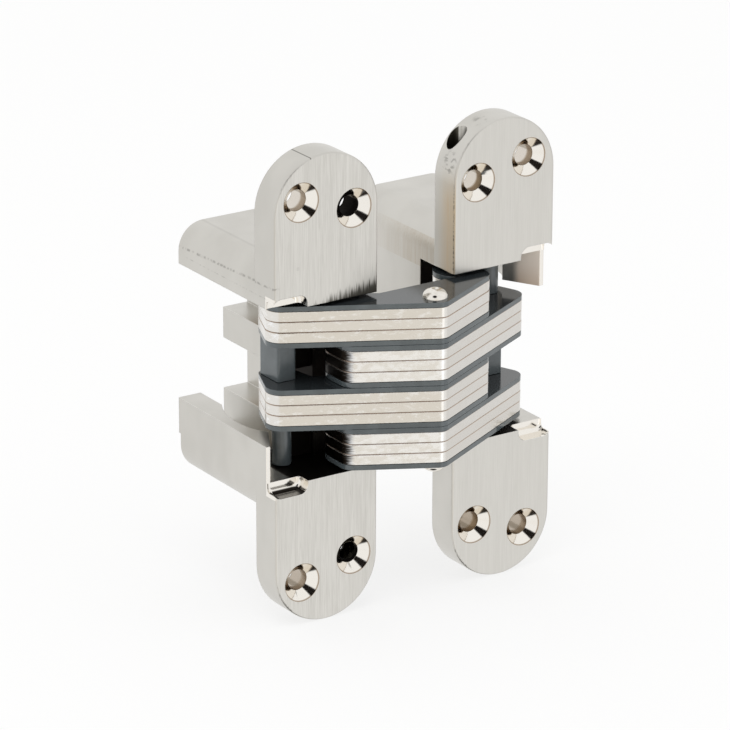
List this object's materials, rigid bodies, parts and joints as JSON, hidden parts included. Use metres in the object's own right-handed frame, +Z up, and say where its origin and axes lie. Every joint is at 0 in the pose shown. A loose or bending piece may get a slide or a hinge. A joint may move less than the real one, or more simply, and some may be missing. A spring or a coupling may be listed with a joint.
{
  "type": "concealed door hinge",
  "caption": "Concealed door hinge, open flat: mortised bodies with round-ended face plates, joined by crossed sets of laminated links that fold away inside when closed.",
  "frame": {"origin": "middle of the outline box with the hinge open flat", "axes": "+X from the left body to the right body, +Y into the depth of both bodies, +Z up along the face plates and the pivot axes"},
  "size_m": [0.08, 0.0566, 0.118],
  "materials": {
    "nickel_casting": "zinc alloy casting, nickel plated and brushed to a satin",
    "link_steel": "stamped steel, nickel plated",
    "grey_washer": "moulded blue-grey plastic, satin",
    "grey_slider": "moulded blue-grey plastic, satin",
    "polished_pin": "polished nickel-plated steel"
  },
  "bodies": {
    "left_leaf": {"left_body": "nickel_casting", "left_pivot_pin": "polished_pin"},
    "link_set_b": {"link_2_upper_washer": "grey_washer", "link_2_plate_1": "link_steel", "link_2_plate_2": "link_steel", "link_2_plate_3": "link_steel", "link_2_lower_washer": "grey_washer", "link_4_upper_washer": "grey_washer", "link_4_plate_1": "link_steel", "link_4_plate_2": "link_steel", "link_4_plate_3": "link_steel", "link_4_lower_washer": "grey_washer", "centre_rivet": "polished_pin", "right_slide_pin": "polished_pin", "right_slide_sleeve": "grey_slider"},
    "link_set_a": {"link_1_upper_washer": "grey_washer", "link_1_plate_1": "link_steel", "link_1_plate_2": "link_steel", "link_1_plate_3": "link_steel", "link_1_lower_washer": "grey_washer", "link_3_upper_washer": "grey_washer", "link_3_plate_1": "link_steel", "link_3_plate_2": "link_steel", "link_3_plate_3": "link_steel", "link_3_lower_washer": "grey_washer", "left_slide_pin": "polished_pin", "left_slide_sleeve": "grey_slider"},
    "right_leaf": {"right_body": "nickel_casting", "right_pivot_pin": "polished_pin"},
    "left_slider": {"left_slider_block": "grey_slider"},
    "right_slider": {"right_slider_block": "grey_slider"}
  },
  "joints": [
    {"name": "left_pivot", "type": "hinge", "parent": "left_leaf", "child": "link_set_b", "pos_m": [-0.0154, -0.00995, 0], "axis": [0, 0, 1], "range_deg": [-117.33, 0]},
    {"name": "centre_pivot", "type": "hinge", "parent": "link_set_b", "child": "link_set_a", "pos_m": [0, -0.02385, 0], "axis": [0, 0, 1], "range_deg": [0, 54.68]},
    {"name": "right_pivot", "type": "hinge", "parent": "link_set_a", "child": "right_leaf", "pos_m": [0.0154, -0.00995, 0], "axis": [0, 0, 1], "range_deg": [-117.35, 0]},
    {"name": "left_slider_pivot", "type": "hinge", "parent": "link_set_a", "child": "left_slider", "pos_m": [-0.03, -0.0029, 0], "axis": [0, 0, 1], "range_deg": [0, 62.69]},
    {"name": "right_slider_pivot", "type": "hinge", "parent": "link_set_b", "child": "right_slider", "pos_m": [0.03, -0.0029, 0], "axis": [0, 0, 1], "range_deg": [-62.69, 0]}
  ],
  "couplings": [
    {"joint": "centre_pivot", "follows": "left_pivot", "ratio": -0.46584},
    {"joint": "right_pivot", "follows": "left_pivot", "ratio": 1},
    {"joint": "left_slider_pivot", "follows": "left_pivot", "ratio": -0.53416},
    {"joint": "right_slider_pivot", "follows": "left_pivot", "ratio": 0.53416}
  ]
}
